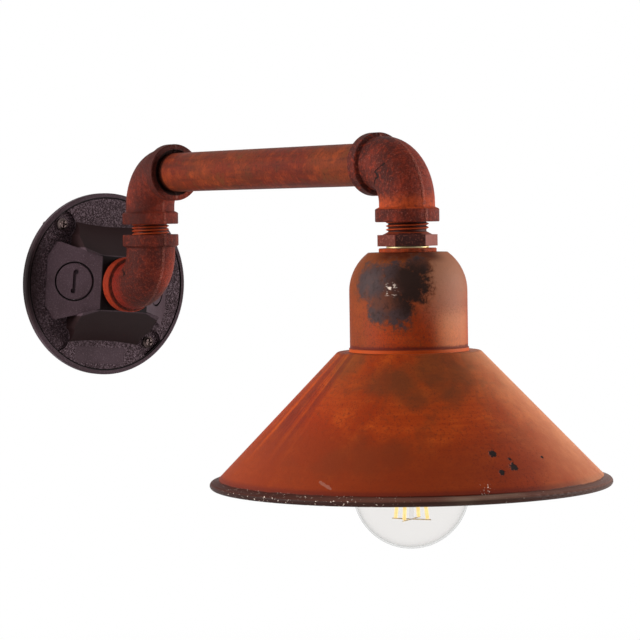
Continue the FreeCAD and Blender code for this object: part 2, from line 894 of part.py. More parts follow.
def lamp_shade():
    thick = of("shade_wall")
    hole = of("holder_skirt_d") / 2 + of("shade_hole_fit")
    top = of("shade_top_d") / 2
    flange = of("shade_rim_d") / 2 - of("shade_flange_width")
    flange_z = cup_bottom - of("shade_depth")
    run = flange - top
    fall = of("shade_depth")
    length = root_of(run * run + fall * fall)
    round_in = of("shade_top_round") * fall / (length + run)
    round_out = round_in * run / length
    round_down = round_in * fall / length
    lip = flange_z - of("shade_groove")
    bead = of("shade_bead_d") / 2
    rim = of("shade_rim_d") / 2
    rim_z = lip - of("shade_flange_drop")
    bead_in = rim - bead * 2
    shift = thick * (length - run) / fall
    hang(turned("lamp_shade", [
        (hole, cup_bottom), (top - round_in, cup_bottom),
        (top + round_out, cup_bottom - round_down, of("shade_top_round")),
        (flange, flange_z), (flange, lip), (rim - bead, rim_z), (rim, rim_z - bead, bead),
        (rim - bead, rim_z - bead * 2, bead), (bead_in, rim_z - bead * 1.5),
        (bead_in, rim_z - thick), (flange, lip - thick), (top - shift, cup_bottom - thick),
        (hole, cup_bottom - thick)]))


def shade_ring():
    thick = of("shade_wall")
    top = cup_bottom - thick
    bottom = top - of("ring_height")
    hole = of("holder_skirt_d") / 2 + of("thread_fit")
    rim = of("ring_d") / 2
    collar = hole + of("ring_lip") * 1.5
    hang(turned("shade_ring", [
        (hole, top), (rim, top), (rim, top - of("ring_lip")), (collar, top - of("ring_lip") * 1.5),
        (collar, bottom), (hole, bottom)]))


def lampholder():
    """The two insulating halves that hold the screw shell and the terminals."""
    rod = of("rod_d") / 2 + of("thread_fit")
    outer = of("holder_top_d") / 2
    inner = outer - of("holder_top_wall")
    ceiling = rod_bottom
    shoulder = of("holder_top_wall")
    hang(turned("lampholder_cap", [
        (rod, holder_high), (inner - shoulder, holder_high), (outer, holder_high - shoulder),
        (outer, holder_split), (inner, holder_split), (inner, ceiling), (rod, ceiling)]))
    floor_low = bulb_tip + of("contact_gap") + of("contact_bump") + of("contact_thickness")
    floor_high = floor_low + of("holder_floor")
    flange = of("holder_flange_d") / 2
    flange_z = cup_bottom + of("holder_flange_height")
    skirt = of("holder_skirt_d") / 2
    bore = of("shell_d") / 2 + of("shell_wall") + of("thread_fit")
    rivet = of("terminal_shank_d") / 2 + of("thread_fit")
    base = turned("lampholder_base", [
        (rivet, floor_high), (inner, floor_high), (inner, holder_split), (outer, holder_split),
        (outer, flange_z), (flange, flange_z), (flange, cup_bottom), (skirt, cup_bottom),
        (skirt, holder_low), (bore, holder_low), (bore, floor_low), (rivet, floor_low)])
    holes = sketch_on(base, "XY_Plane", floor_high)
    for side in (-1, 1):
        disc(holes, rivet * 2, of("terminal_spread") * side, 0)
    pocket(base, holes, of("holder_floor"))
    hang(base)
    shell_in = of("shell_d") / 2
    shell_out = shell_in + of("shell_wall")
    shell_top = holder_low + of("shell_length")
    shell = turned("lampholder_shell", [
        (shell_in, holder_low), (shell_out, holder_low), (shell_out, shell_top), (shell_in, shell_top)])
    round_thread(
        shell, of("shell_ridge_d"), shell_in, of("edison_pitch"),
        thread_start + of("edison_pitch") / 2, of("edison_turns"))
    hang(shell)
    contact = new_body("lampholder_contact")
    leaf = sketch_on(contact, "XY_Plane", floor_low)
    x = of("contact_length") / 2
    y = of("contact_width") / 2
    outline(leaf, [(-x, -y), (x, -y), (x, y), (-x, y)])
    pad(contact, leaf, of("contact_thickness"), back=True)
    bump = sketch_on(contact, "XY_Plane", floor_low)
    disc(bump, of("contact_width") * 0.8)
    pad(contact, bump, of("contact_thickness") + of("contact_bump"), back=True)
    rivet_shank = sketch_on(contact, "XY_Plane", floor_low)
    disc(rivet_shank, of("terminal_shank_d"))
    pad(contact, rivet_shank, of("holder_floor"))
    hang(contact)
    screws = []
    for side in (-1, 1):
        centre = Vector(terminal_x(side).value, drop_y.value, arm_z.value)
        foot = Vector(0, 0, floor_low.value + of("contact_thickness").value)
        shank = Part.makeCylinder(
            of("terminal_shank_d").value / 2, of("holder_floor").value - of("contact_thickness").value,
            centre + foot)
        head = Part.makeCylinder(
            of("terminal_head_d").value / 2, of("terminal_head_height").value,
            centre + Vector(0, 0, floor_high.value))
        screws.append(shank.fuse(head).removeSplitter())
    keep(solid_piece("terminal_screws", Part.makeCompound(screws)))
    return floor_high


def terminal_x(side):
    return of("terminal_spread") * side


# the bulb

def bulb():
    tip = bulb_tip
    contact_low = tip - of("bulb_contact_height")
    hang(turned("bulb_contact", [
        (0, contact_low), (of("bulb_contact_d") / 2, contact_low),
        (of("bulb_contact_d") / 2 * 0.7, tip, of("bulb_contact_d") / 2), (0, tip)]))
    cap_out = of("edison_d") / 2 - of("edison_ridge_d") / 2
    cap_in = cap_out - of("bulb_cap_wall")
    insulator_low = contact_low - of("bulb_insulator_height")
    cap_top = insulator_low + of("bulb_cap_seat")
    fit = of("thread_fit")
    hang(turned("bulb_insulator", [
        (0, insulator_low), (cap_in - fit, insulator_low), (cap_in - fit, cap_top),
        (of("bulb_contact_d") / 2, contact_low), (0, contact_low)]))
    cap_low = cap_top - of("bulb_cap_length")
    cap = turned("bulb_cap", [
        (0, cap_low), (cap_out, cap_low), (cap_out, cap_top), (0, cap_top)])
    round_thread(
        cap, of("edison_ridge_d"), cap_out, of("edison_pitch"), thread_start, of("edison_turns"))
    inside = sketch_on(cap, "XY_Plane", cap_top + of("bulb_cap_wall"))
    disc(inside, cap_in * 2)
    pocket(cap, inside)
    hang(cap)

    # glass: a neck that sweeps into a round globe
    thick = of("glass_wall")
    neck_in_cap = cap_in - fit
    neck = of("bulb_neck_d") / 2
    globe = of("bulb_d") / 2
    neck_low = tip - of("bulb_neck_reach")
    centre = bulb_low + globe
    rise = neck_low - centre
    sweep = (rise * rise / (globe - neck) - (globe + neck)) / 2
    aside = (neck + sweep) / (globe + sweep)
    above = rise / (globe + sweep)
    glass_top = cap_low + of("bulb_seal")
    inner = globe - thick
    hang(turned("bulb_glass", [
        (neck_in_cap, glass_top), (neck_in_cap, cap_low), (neck, neck_low),
        (aside * globe, centre + above * globe, -sweep), (0, bulb_low, globe), (0, bulb_low + thick),
        (aside * inner, centre + above * inner, -inner), (neck - thick, neck_low, sweep + thick),
        (neck_in_cap - thick, cap_low), (neck_in_cap - thick, glass_top)]))
    foot = neck_in_cap - thick - fit
    stem = of("stem_d") / 2
    stem_low = tip - of("stem_reach")
    rod = of("stem_rod_d") / 2
    star_z = stem_low - of("filament_drop")
    hang(turned("bulb_stem", [
        (0, glass_top), (foot, glass_top), (foot, glass_top - thick * 2), (stem, cap_low),
        (stem * 0.8, stem_low), (rod, stem_low), (rod, star_z), (0, star_z)]))

    # four light-giving rods between the stem and a star of wire
    tilt = []
    lead = []
    star = []
    wire = of("filament_wire_d").value / 2
    for quarter in range(4):
        angle = math.radians(of("filament_turn").value + 90 * quarter)
        out = Vector(math.cos(angle), math.sin(angle), 0)
        root = out * of("filament_top_radius").value + Vector(0, 0, stem_low.value - wire / 4)
        low = out * of("filament_foot_radius").value + Vector(0, 0, star_z.value + wire * 0.6)
        high = root + (low - root).normalize() * of("filament_lead").value
        tilt.append(straight_rod(high, low, of("filament_d").value / 2))
        lead.append(straight_rod(root, high, wire))
        hub = Vector(0, 0, star_z.value - wire)
        tip_radius = (of("filament_foot_radius") + of("filament_wire_past")).value
        star.append(straight_rod(hub, hub + out * tip_radius, wire))
    origin = Vector(0, drop_y.value, arm_z.value)
    for group in (tilt, lead, star):
        for rod_shape in group:
            rod_shape.translate(origin)
    keep(solid_piece("bulb_filaments", Part.makeCompound(tilt)))
    spokes = star[0].multiFuse(star[1:]).removeSplitter()
    keep(solid_piece("filament_wires", Part.makeCompound([spokes] + lead)))


def straight_rod(start, finish, radius):
    run = finish - start
    return Part.makeCylinder(radius, run.Length, start, run)


# wires inside the pipes

def tube_along(points, radius, bends):
    """A round wire on straight runs and tangent arcs; its volume is compared with its length."""
    edges = []
    start = points[0]
    length = 0.0
    for i in range(1, len(points) - 1):
        before = (points[i - 1] - points[i]).normalize()
        after = (points[i + 1] - points[i]).normalize()
        turn_angle = math.pi - before.getAngle(after)
        cut = bends[i - 1] * math.tan(turn_angle / 2)
        first = points[i] + before * cut
        last = points[i] + after * cut
        inward = (before + after).normalize()
        middle = points[i] + inward * (bends[i - 1] / math.cos(turn_angle / 2) - bends[i - 1])
        edges.append(Part.LineSegment(start, first).toShape())
        edges.append(Part.Arc(first, middle, last).toShape())
        length += (first - start).Length + bends[i - 1] * turn_angle
        start = last
    edges.append(Part.LineSegment(start, points[-1]).toShape())
    length += (points[-1] - start).Length
    path = Part.Wire(edges)
    ring = Part.Wire(Part.Circle(points[0], points[1] - points[0], radius).toShape())
    tube = path.makePipeShell([ring], True, True)
    expected = math.pi * radius * radius * length
    print("wire %.1f long, radii %s, volume %.4f of section x length" % (
        length, [round(b, 1) for b in bends], tube.Volume / expected))
    return tube


def lead_wires(floor_high):
    """A live and a neutral wire, each in two lengths that meet where the arm swings."""
    radius = of("wire_d").value / 2
    bend = of("elbow_bend").value
    top = arm_z.value
    swing = of("swing_height").value
    terminal = arm_z.value + floor_high.value + of("terminal_head_height").value
    gather = arm_z.value + rod_bottom.value
    for name, side in (("live", -1), ("neutral", 1)):
        x = of("wire_spacing").value / 2 * side
        foot = Vector(terminal_x(side).value, drop_y.value, terminal)
        slant = (gather - terminal) * 0.42
        run = [
            foot, foot + Vector(0, 0, slant), Vector(x, drop_y.value, gather),
            Vector(x, drop_y.value, top), Vector(x, riser_y.value, top),
            Vector(x, riser_y.value, swing)]
        lean = math.atan2(abs(foot.x - x), gather - terminal - slant)
        small = 0.45 * slant / math.tan(lean / 2)
        upper = tube_along(run, radius, [small, small, bend, bend])
        lower = tube_along(
            [Vector(x, riser_y.value, swing), Vector(x, riser_y.value, 0),
             Vector(x, -of("wire_tail").value, 0)], radius, [bend])
        keep(solid_piece(name + "_wire_arm", upper))
        keep(solid_piece(name + "_wire_wall", lower))


# assembly

thread_start = bulb_tip - of("edison_start")
LEG_UP_TO_WALL = Rotation(Vector(0, 0, 1), 90)
LEG_DOWN_TO_ROOM = Rotation(Vector(1, -1, 0), 180)
LEG_DOWN_TO_WALL = Rotation(Vector(1, 1, 0), 180)

cover_gasket()
cover_plate()
cover_screws()
closure_plug("closure_plug_left", -1)
closure_plug("closure_plug_right", 1)
wall_nipple()
elbow("lower_elbow", riser_y, 0, LEG_UP_TO_WALL)
riser_nipple()
elbow("upper_elbow", riser_y, arm_z, LEG_DOWN_TO_ROOM)
arm_pipe()
elbow("outer_elbow", drop_y, arm_z, LEG_DOWN_TO_WALL)
hex_bushing()
washer("brass_washer", of("brass_washer_d"), hex_bottom, brass_bottom)
washer("cup_washer", of("cup_washer_d"), brass_bottom, cup_top)
hanging_rod()
rod_nut()
socket_cup()
lamp_shade()
shade_ring()
chamber_floor = lampholder()
bulb()
lead_wires(chamber_floor)
doc.recompute()

for thing in doc.Objects:
    if "Invalid" in thing.State or "Error" in thing.State:
        raise RuntimeError("failed: %s %s" % (thing.Name, thing.State))
for piece in pieces:
    shape = piece.Shape
    if shape.isNull() or not shape.isValid():
        raise RuntimeError("bad shape: " + piece.Label)
os.makedirs("parts", exist_ok=True)
for piece in pieces:
    piece.Shape.exportStep(os.path.join("parts", piece.Label + ".step"))
    box = piece.Shape.BoundBox
    print("%-20s %d solids %10.1f mm3  x %.1f..%.1f y %.1f..%.1f z %.1f..%.1f" % (
        piece.Label, len(piece.Shape.Solids), piece.Shape.Volume,
        box.XMin, box.XMax, box.YMin, box.YMax, box.ZMin, box.ZMax))
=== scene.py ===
import bpy
import bmesh
import math
from mathutils import Euler, Matrix, Vector

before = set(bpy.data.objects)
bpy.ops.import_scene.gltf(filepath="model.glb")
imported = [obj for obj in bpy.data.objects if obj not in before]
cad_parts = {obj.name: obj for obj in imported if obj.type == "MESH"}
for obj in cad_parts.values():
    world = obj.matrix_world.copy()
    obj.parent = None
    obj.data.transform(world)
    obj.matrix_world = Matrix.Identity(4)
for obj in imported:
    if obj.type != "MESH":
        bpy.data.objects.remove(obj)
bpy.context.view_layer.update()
print("frame loaded")


# a number that changes over a surface: the usual signs add Math nodes
class Amount:
    def __init__(self, paint, socket):
        self.paint = paint
        self.socket = socket

    def joined(self, operation, first, second):
        node = self.paint.add("ShaderNodeMath", {"operation": operation}, {0: first, 1: second})
        return Amount(self.paint, node.outputs[0])

    def __add__(self, other):
        return self.joined("ADD", self, other)

    def __radd__(self, other):
        return self.joined("ADD", other, self)

    def __sub__(self, other):
        return self.joined("SUBTRACT", self, other)

    def __rsub__(self, other):
        return self.joined("SUBTRACT", other, self)

    def __mul__(self, other):
        return self.joined("MULTIPLY", self, other)

    def __rmul__(self, other):
        return self.joined("MULTIPLY", other, self)

    def __truediv__(self, other):
        return self.joined("DIVIDE", self, other)

    def __pow__(self, other):
        return self.joined("POWER", self, other)

    def unsigned(self):
        return self.joined("ABSOLUTE", self, 0.0)

    def orMore(self, other):
        return self.joined("MAXIMUM", self, other)

    def orLess(self, other):
        return self.joined("MINIMUM", self, other)


# the nodes of one material or of the world; patterns read Object coordinates, in metres
class Paint:
    def __init__(self, name, kind="materials"):
        self.owner = getattr(bpy.data, kind).new(name)
        self.owner.use_nodes = True
        self.nodes = self.owner.node_tree.nodes
        self.links = self.owner.node_tree.links
        self.nodes.clear()
        self.place = self.add("ShaderNodeTexCoord").outputs["Object"]

    def add(self, kind, settings=None, inputs=None):
        node = self.nodes.new(kind)
        for key, value in (settings or {}).items():
            setattr(node, key, value)
        for key, value in (inputs or {}).items():
            if isinstance(value, Amount):
                value = value.socket
            if isinstance(value, bpy.types.NodeSocket):
                self.links.new(value, node.inputs[key])
            else:
                node.inputs[key].default_value = value
        return node

    def vector(self, operation, first, second):
        node = self.add("ShaderNodeVectorMath", {"operation": operation}, {0: first, 1: second})
        return node.outputs

    # the way from a centre to the point that is painted
    def away(self, centre):
        return self.vector("SUBTRACT", self.place, centre)[0]

    def along(self, direction, start=(0, 0, 0)):
        return Amount(self, self.vector("DOT_PRODUCT", self.away(start), direction)["Value"])

    def distance(self, centre, stretch=(1, 1, 1)):
        sized = self.vector("MULTIPLY", self.away(centre), stretch)[0]
        return Amount(self, self.vector("DISTANCE", sized, (0, 0, 0))["Value"])

    # the angle about the upright axis of the drop, 0 at the front; it jumps at the back
    def angle(self):
        x = self.along((1, 0, 0))
        y = self.along((0, -1, 0), dropAxis)
        return x.joined("ARCTAN2", x, y)

    def stretched(self, scale, turn=(0, 0, 0)):
        return self.add("ShaderNodeMapping", None, {
            "Vector": self.place, "Rotation": turn, "Scale": scale}).outputs[0]

    def wrapped(self, angle, height, scale):
        turnScale, heightScale = scale
        return self.add("ShaderNodeCombineXYZ", None, {
            0: angle * turnScale, 1: height * heightScale}).outputs[0]

    def noise(self, scale, detail=4.0, rough=0.55, at=None, warp=0.0):
        node = self.add("ShaderNodeTexNoise", None, {
            "Vector": self.place if at is None else at, "Scale": scale, "Detail": detail,
            "Roughness": rough, "Distortion": warp})
        return Amount(self, node.outputs[0])

    # 0 at low and 1 at high, with soft ends; high may be the smaller one
    def rise(self, amount, low, high):
        node = self.add("ShaderNodeMapRange", {"interpolation_type": "SMOOTHSTEP"}, {
            "Value": amount, "From Min": low, "From Max": high})
        return Amount(self, node.outputs[0])

    # 1 within full of the middle angle, 0 beyond none, so that nothing jumps at the back
    def facing(self, angle, middle, full, none):
        return self.rise((angle - middle).unsigned(), none, full)

    def mix(self, amount, first, second):
        node = self.add("ShaderNodeMix", {"data_type": "RGBA"}, {0: amount, 6: first, 7: second})
        return node.outputs[2]

    # 1 inside any of the (centre, size) marks, with a ragged edge
    def blots(self, marks, ragged, soft=0.25):
        union = None
        for centre, size in marks:
            near = self.rise(self.distance(centre) / size + ragged, 1.0 + soft, 1.0 - soft)
            union = near if union is None else union.orMore(near)
        return union

    # 1 along the straight lines between the points, a line of that width
    def strokes(self, points, width, ragged):
        union = None
        for start, end in zip(points, points[1:]):
            run = Vector(end) - Vector(start)
            share = (self.along(run.normalized(), start) / run.length).orMore(0.0).orLess(1.0)
            reached = self.add("ShaderNodeVectorMath", {"operation": "SCALE"}, {0: run, "Scale": share})
            off = self.vector("DISTANCE", self.away(start), reached.outputs[0])["Value"]
            near = self.rise(Amount(self, off) / width + ragged, 1.2, 0.6)
            union = near if union is None else union.orMore(near)
        return union

    def bump(self, height, depth):
        return self.add("ShaderNodeBump", None, {"Height": height, "Distance": depth}).outputs[0]

    # 1 for the rays that should meet a plain white background
    def whiteRays(self):
        rays = self.add("ShaderNodeLightPath").outputs
        seen = Amount(self, rays["Is Camera Ray"])
        for name in ("Is Glossy Ray", "Is Transmission Ray"):
            seen = seen.orMore(Amount(self, rays[name]))
        return seen

    # more holds other sockets of the shader by name, with _ for a space
    def finish(self, colour, roughness, metallic, normal=None, **more):
        inputs = {"Base Color": colour, "Roughness": roughness, "Metallic": metallic}
        if normal is not None:
            inputs["Normal"] = normal
        for key, value in more.items():
            inputs[key.replace("_", " ")] = value
        shader = self.add("ShaderNodeBsdfPrincipled", None, inputs)
        self.add("ShaderNodeOutputMaterial", None, {"Surface": shader.outputs[0]})
        return self.owner


# a colour as it is seen on the screen, 0 to 255
def ink(red, green, blue):
    seen = [channel / 255 for channel in (red, green, blue)]
    return tuple(c / 12.92 if c <= 0.04045 else ((c + 0.055) / 1.055) ** 2.4 for c in seen) + (1.0,)


def mm(*numbers):
    return tuple(number / 1000 for number in numbers)


# where the pipes run, in metres
run = {
    "dropY": -0.3022,
    "riserY": -0.0565,
    "armZ": 0.0627,
    "threadCrest": 0.0102,
    "threadRoot": 0.0096,
}
dropAxis = (0, run["dropY"], 0)


# the camera of the photograph; the turn is in degrees
camera = {
    "place": (-0.74787, -1.33481, 0.04003),
    "turn": (87.632, 0.898, -34.019),
    "lens": 147.97,
    "sensor": 36,
    "near": 0.05,
    "far": 20,
}


def makeCamera():
    data = bpy.data.cameras.new("camera")
    data.sensor_width = camera["sensor"]
    data.lens = camera["lens"]
    data.clip_start = camera["near"]
    data.clip_end = camera["far"]
    seat = bpy.data.objects.new("camera", data)
    bpy.context.scene.collection.objects.link(seat)
    turn = Euler([math.radians(part) for part in camera["turn"]])
    seat.matrix_world = Matrix.LocRotScale(Vector(camera["place"]), turn, None)
    bpy.context.scene.camera = seat
    print("camera placed")


studio = {
    "surround": 0.20,
    "aim": (0, -0.2, 0),
    "floorZ": -0.42,
    "floorSize": 4.0,
    "floorWhite": 0.55,  # the least share of plain white, so that the shadow still shows
    "shadowReach": (0.5, 1.6),  # from here on the floor turns white
    "lamps": {
        "right": {"place": (1.45, -1.0, 0.30), "size": 1.0, "power": 44},
        "left": {"place": (-1.35, 0.25, 0.40), "size": 1.0, "power": 42},
        "front": {"place": (-1.0, -1.7, 1.2), "size": 1.4, "power": 4},
    },
}


def makeWorld():
    paint = Paint("studio", "worlds")
    bpy.context.scene.world = paint.owner
    strength = paint.whiteRays() * (1 - studio["surround"]) + studio["surround"]
    light = paint.add("ShaderNodeBackground", None, {"Color": (1, 1, 1, 1), "Strength": strength})
    paint.add("ShaderNodeOutputWorld", None, {"Surface": light.outputs[0]})


def floorPaint():
    paint = Paint("floorPaint")
    grain = paint.noise(3.0, 2)
    body = paint.add("ShaderNodeBsdfDiffuse", None, {
        "Color": paint.mix(grain, ink(246, 246, 246), ink(252, 252, 252))})
    white = paint.add("ShaderNodeEmission", None, {"Color": (1, 1, 1, 1), "Strength": 1.0})
    x, y, _ = studio["aim"]
    far = paint.rise(paint.distance((x, y, studio["floorZ"])), *studio["shadowReach"])
    share = paint.whiteRays() * (far * (1 - studio["floorWhite"]) + studio["floorWhite"])
    blend = paint.add("ShaderNodeMixShader", None, {0: share, 1: body.outputs[0], 2: white.outputs[0]})
    paint.add("ShaderNodeOutputMaterial", None, {"Surface": blend.outputs[0]})
    return paint.owner


def makeFloor():
    mesh = bpy.data.meshes.new("floor")
    shape = bmesh.new()
    bmesh.ops.create_grid(shape, x_segments=1, y_segments=1, size=studio["floorSize"])
    bmesh.ops.translate(shape, vec=(0, 0, studio["floorZ"]), verts=shape.verts)
    shape.to_mesh(mesh)
    shape.free()
    mesh.materials.append(floorPaint())
    floor = bpy.data.objects.new("floor", mesh)
    bpy.context.scene.collection.objects.link(floor)


def makeLamps():
    for name, lamp in studio["lamps"].items():
        data = bpy.data.lights.new(name, "AREA")
        data.size = lamp["size"]
        data.energy = lamp["power"]
        seat = bpy.data.objects.new(name, data)
        bpy.context.scene.collection.objects.link(seat)
        aim = Vector(studio["aim"]) - Vector(lamp["place"])
        turn = aim.to_track_quat("-Z", "Y")
        seat.matrix_world = Matrix.LocRotScale(Vector(lamp["place"]), turn, None)


def makeStudio():
    makeWorld()
    makeFloor()
    makeLamps()
    bpy.context.scene.view_settings.view_transform = "Standard"
    print("studio lit")


# spun sheet with a mottled rust-coloured finish, on the shade and the cup
sheetFinish = {
    "gloss": 0.05,
    "relief": 0.00016,
    "cloudScale": 14,
    "spotScale": 75,
    "grainScale": 560,
    "spinScale": (22, 22, 480),  # lines that the spinning tool left round the axis
    "speckScale": 1100,
    "fineScale": 420,
    "bright": ink(186, 84, 26),
    "middle": ink(154, 60, 18),
    "deep": ink(122, 38, 10),
    "brown": ink(84, 42, 22),
    "olive": ink(104, 56, 24),
    "plum": ink(80, 26, 18),
    "soot": ink(26, 18, 16),
    "steel": ink(50, 39, 40),
    "worn": ink(226, 206, 190),
}


# the patterns of one sheet piece, and its colour before its marks
def mottledSheet(paint):
    look = sheetFinish
    clouds = paint.noise(look["cloudScale"], 4, 0.55, warp=0.4)
    spots = paint.noise(look["spotScale"], 5, 0.62)
    grain = paint.noise(look["grainScale"], 4, 0.7)
    spun = paint.noise(1.0, 4, 0.6, at=paint.stretched(look["spinScale"]))
    specks = paint.noise(look["speckScale"], 2, 0.5)
    colour = paint.mix(paint.rise(clouds, 0.36, 0.64) * 0.7, look["deep"], look["middle"])
    colour = paint.mix(paint.rise(spots, 0.46, 0.76) * 0.4, colour, look["bright"])
    colour = paint.mix(paint.rise(spun, 0.44, 0.66) * 0.45, colour, look["deep"])
    colour = paint.mix(paint.rise(grain, 0.52, 0.70) * 0.55, colour, look["brown"])
    colour = paint.mix(paint.rise(specks, 0.57, 0.66) * 0.5, colour, look["plum"])
    return {
        "colour": colour, "clouds": clouds, "spots": spots, "grain": grain, "spun": spun,
        "height": paint.along((0, 0, 1)), "angle": paint.angle()}


def sheetSurface(paint, sheet, colour, smoother, relief):
    rough = 0.42 + sheet["spots"] * 0.14 + sheet["grain"] * 0.12 - smoother
    return paint.finish(
        colour, rough, 0.0, paint.bump(relief, sheetFinish["relief"]),
        Specular_IOR_Level=sheetFinish["gloss"])


# heights are above the middle of the cover, a pair of them from where a mark starts to where it
# is full; a side is (middle angle, full, none) for facing; a mark is (place, size)
shadeMarks = {
    "foot": -0.0888,  # where the rolled rim starts
    # painted shade on the underside of the rolled rim
    "rimShadedBelow": (-0.0908, -0.0916),
    "plumBelow": (-0.0862, -0.0884),
    "smudgedAbove": (-0.060, -0.032),
    "darkBelow": (-0.058, -0.076),
    "darkSide": (-1.4, 1.0, 1.5),
    # the side that carries the painted sheen
    "paintedSheenSide": (1.15, 0.1, 1.1),
    "streakedSide": (-1.75, 0.12, 0.40),
    "streakedAbove": (-0.082, -0.055),
    "streakScale": (14, 9),
    "smudges": [
        (mm(-13.8, -341.0, -34.9), 0.010), (mm(-3.3, -344.9, -36.6), 0.008),
        (mm(-12.3, -352.8, -46.2), 0.007), (mm(-35.2, -331.2, -39.5), 0.010),
        (mm(-31.3, -339.3, -42.6), 0.008), (mm(-28.5, -347.3, -47.5), 0.006),
        (mm(-40.9, -304.1, -34.7), 0.009), (mm(-62.0, -352.2, -74.8), 0.010),
        (mm(-52.0, -358.5, -73.5), 0.009), (mm(-70.5, -341.0, -75.5), 0.009)],
    "chips": [
        (mm(-9.1, -379.3, -72.7), 0.0020), (mm(-1.9, -382.3, -75.2), 0.0010),
        (mm(-2.2, -385.6, -78.7), 0.0023), (mm(-9.8, -386.7, -80.4), 0.0017),
        (mm(18.5, -380.7, -75.8), 0.0009)],
    "pitted": (mm(-2, -384, -78), 0.030),
    "scratch": [mm(-79.3, -340.8, -83.6), mm(-78.8, -345.0, -85.1), mm(-78.3, -348.2, -86.3)],
    "scratchWidth": 0.0007,
    "flecks": (mm(-22.3, -390.9, -87.0), 0.0036),
    # the colour of the painted sheen on the right side
    "paintedEdgeSheen": ink(190, 128, 90),
    "rimBrown": ink(48, 19, 11),
    "rimDark": ink(82, 52, 43),
    # the painted sheen on the rim and the side it is on
    "rimPaintedSheen": ink(142, 126, 108),
    "rimDarkSide": (-1.9, 0.5, 1.2),
    "rimPaintedSheenSide": (0.9, 1.4, 1.8),
    "rimBareSide": (-1.2, 0.35, 0.75),
    "rimBareScale": (85, 850),
}


# brown smudges high on the front, darker red-brown low down
def shadeSmudges(paint, sheet, fine):
    look = sheetFinish
    marks = shadeMarks
    height = sheet["height"]
    ragged = (paint.noise(60, 5, 0.65, warp=0.4) - 0.5) * 2.4 + fine * 0.8
    blotchy = paint.noise(48, 6, 0.7, warp=0.6)
    smudge = paint.blots(marks["smudges"], ragged, 0.6)
    high = paint.rise(height, *marks["smudgedAbove"])
    low = paint.rise(height + (sheet["clouds"] - 0.5) * 0.03, *marks["darkBelow"])
    dark = low * paint.facing(sheet["angle"], *marks["darkSide"])
    colour = paint.mix(smudge * 0.65, sheet["colour"], look["brown"])
    colour = paint.mix(high * paint.rise(sheet["clouds"], 0.36, 0.60) * 0.4, colour, look["olive"])
    colour = paint.mix(high * paint.rise(blotchy, 0.46, 0.60) * 0.45, colour, look["brown"])
    colour = paint.mix(paint.rise(blotchy, 0.52, 0.66) * 0.3, colour, look["brown"])
    colour = paint.mix(low * 0.6, colour, look["deep"])
    colour = paint.mix(dark * 0.3, colour, look["brown"])
    return paint.mix(paint.rise(height, *marks["plumBelow"]) * 0.7, colour, look["plum"])


# a painted sheen on the right side, and streaks that run down the left one
def shadeStreaks(paint, sheet, colour):
    look = sheetFinish
    marks = shadeMarks
    height = sheet["height"]
    angle = sheet["angle"]
    # painted sheen: a pale colour over the right side, patchy with the spots
    paintedSideSheen = paint.facing(angle + sheet["clouds"] * 0.3, *marks["paintedSheenSide"])
    colour = paint.mix(paintedSideSheen * (sheet["spots"] * 0.9 + 0.15), colour, marks["paintedEdgeSheen"])
    streaks = paint.noise(1.0, 2, 0.5, at=paint.wrapped(angle, height, marks["streakScale"]))
    side = paint.facing(angle, *marks["streakedSide"]) * paint.rise(height, *marks["streakedAbove"])
    colour = paint.mix(side * paint.rise(streaks, 0.50, 0.72) * 0.35, colour, look["bright"])
    return paint.mix(side * paint.rise(streaks, 0.52, 0.36) * 0.6, colour, look["plum"])


# chips down to the dark metal with pits about them, a rubbed line and pale flecks
def shadeChips(paint, chipped, fine, colour):
    look = sheetFinish
    marks = shadeMarks
    centre, reach = marks["pitted"]
    around = paint.rise(paint.distance(centre) / reach, 1.0, 0.4)
    pits = around * paint.rise(paint.noise(800, 3, 0.6), 0.57, 0.65)
    rubbed = paint.strokes(marks["scratch"], marks["scratchWidth"], fine * 3.2)
    bare = paint.rise(paint.noise(900, 3, 0.6), 0.60, 0.66)
    flecked = paint.blots([marks["flecks"]], fine, 0.3) * bare
    colour = paint.mix(around * 0.25, colour, look["plum"])
    colour = paint.mix(pits * 0.35, colour, look["soot"])
    colour = paint.mix(chipped, colour, look["soot"])
    colour = paint.mix(rubbed * 0.08, colour, look["worn"])
    return paint.mix(flecked * 0.9, colour, look["worn"])


# the rolled rim: dark, with painted shade on its underside and in the groove above it, a painted sheen
# on its right, and the coat worn off in dots
def shadeRim(paint, sheet):
    look = sheetFinish
    marks = shadeMarks
    height = sheet["height"]
    angle = sheet["angle"]
    # painted sheen in pale patches on the right of the rim
    paintedSheen = paint.rise(paint.noise(12, 3, 0.5), 0.44, 0.62)
    paintedSheen = paintedSheen * paint.facing(angle, *marks["rimPaintedSheenSide"])
    # painted shade in the groove where the rim starts
    shadedGroove = paint.rise((height - marks["foot"]).unsigned(), 0.0008, 0.0003)
    bare = paint.noise(1.0, 4, 0.65, at=paint.wrapped(angle, height, marks["rimBareScale"]))
    often = paint.facing(angle, *marks["rimBareSide"]) * 0.06
    rim = paint.mix(paint.facing(angle, *marks["rimDarkSide"]), marks["rimDark"], marks["rimBrown"])
    rim = paint.mix(paintedSheen * 0.8, rim, marks["rimPaintedSheen"])
    # painted shade on the rim's underside
    rim = paint.mix(paint.rise(height, *marks["rimShadedBelow"]) * 0.75, rim, look["soot"])
    rim = paint.mix(shadedGroove * 0.85, rim, look["soot"])
    return paint.mix(paint.rise(bare + often, 0.68, 0.72) * 0.95, rim, look["worn"])


